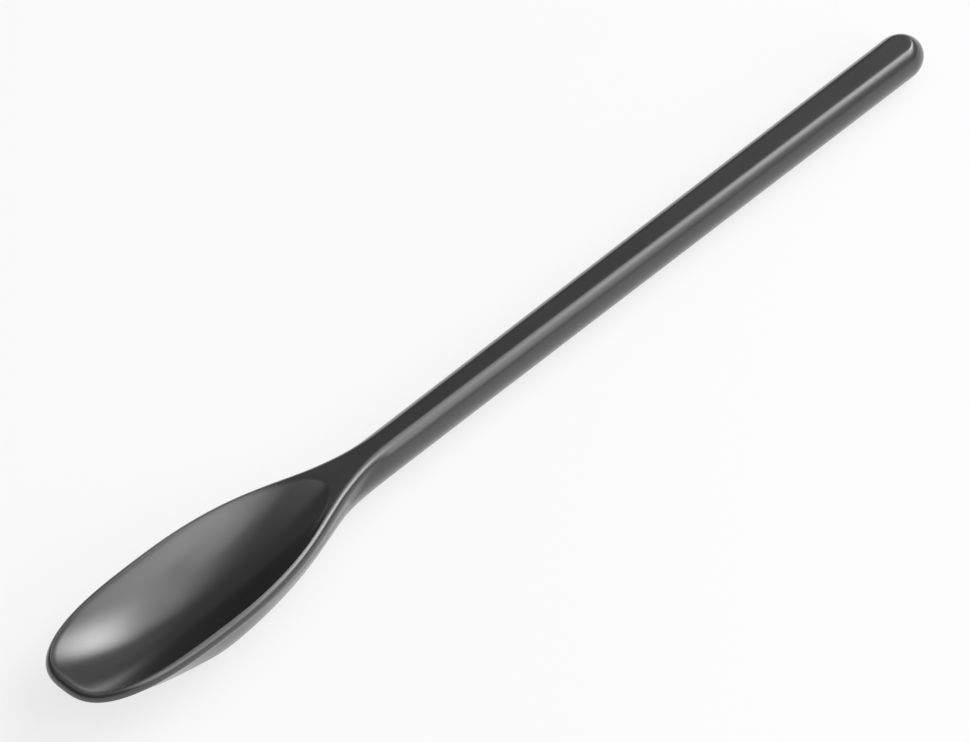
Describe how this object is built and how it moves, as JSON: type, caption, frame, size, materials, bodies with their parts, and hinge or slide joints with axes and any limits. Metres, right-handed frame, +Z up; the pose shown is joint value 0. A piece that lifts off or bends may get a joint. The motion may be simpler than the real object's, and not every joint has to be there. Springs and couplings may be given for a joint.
{
  "type": "mixing spoon",
  "caption": "Moulded mixing spoon with a long dished bowl, a flared neck and a straight oval handle planed flat on top and rounded at its end.",
  "frame": {"origin": "on the table under the middle of the spoon's length and width, the spoon lying as it rests", "axes": "+X along the spoon from the bowl to the handle's end, +Y across it, +Z up out of the bowl's hollow"},
  "size_m": [0.3, 0.032, 0.015],
  "materials": {
    "melamine": "satin gloss, as moulded in black melamine"
  },
  "bodies": {
    "root": {"bowl": "melamine", "handle": "melamine"}
  },
  "joints": []
}
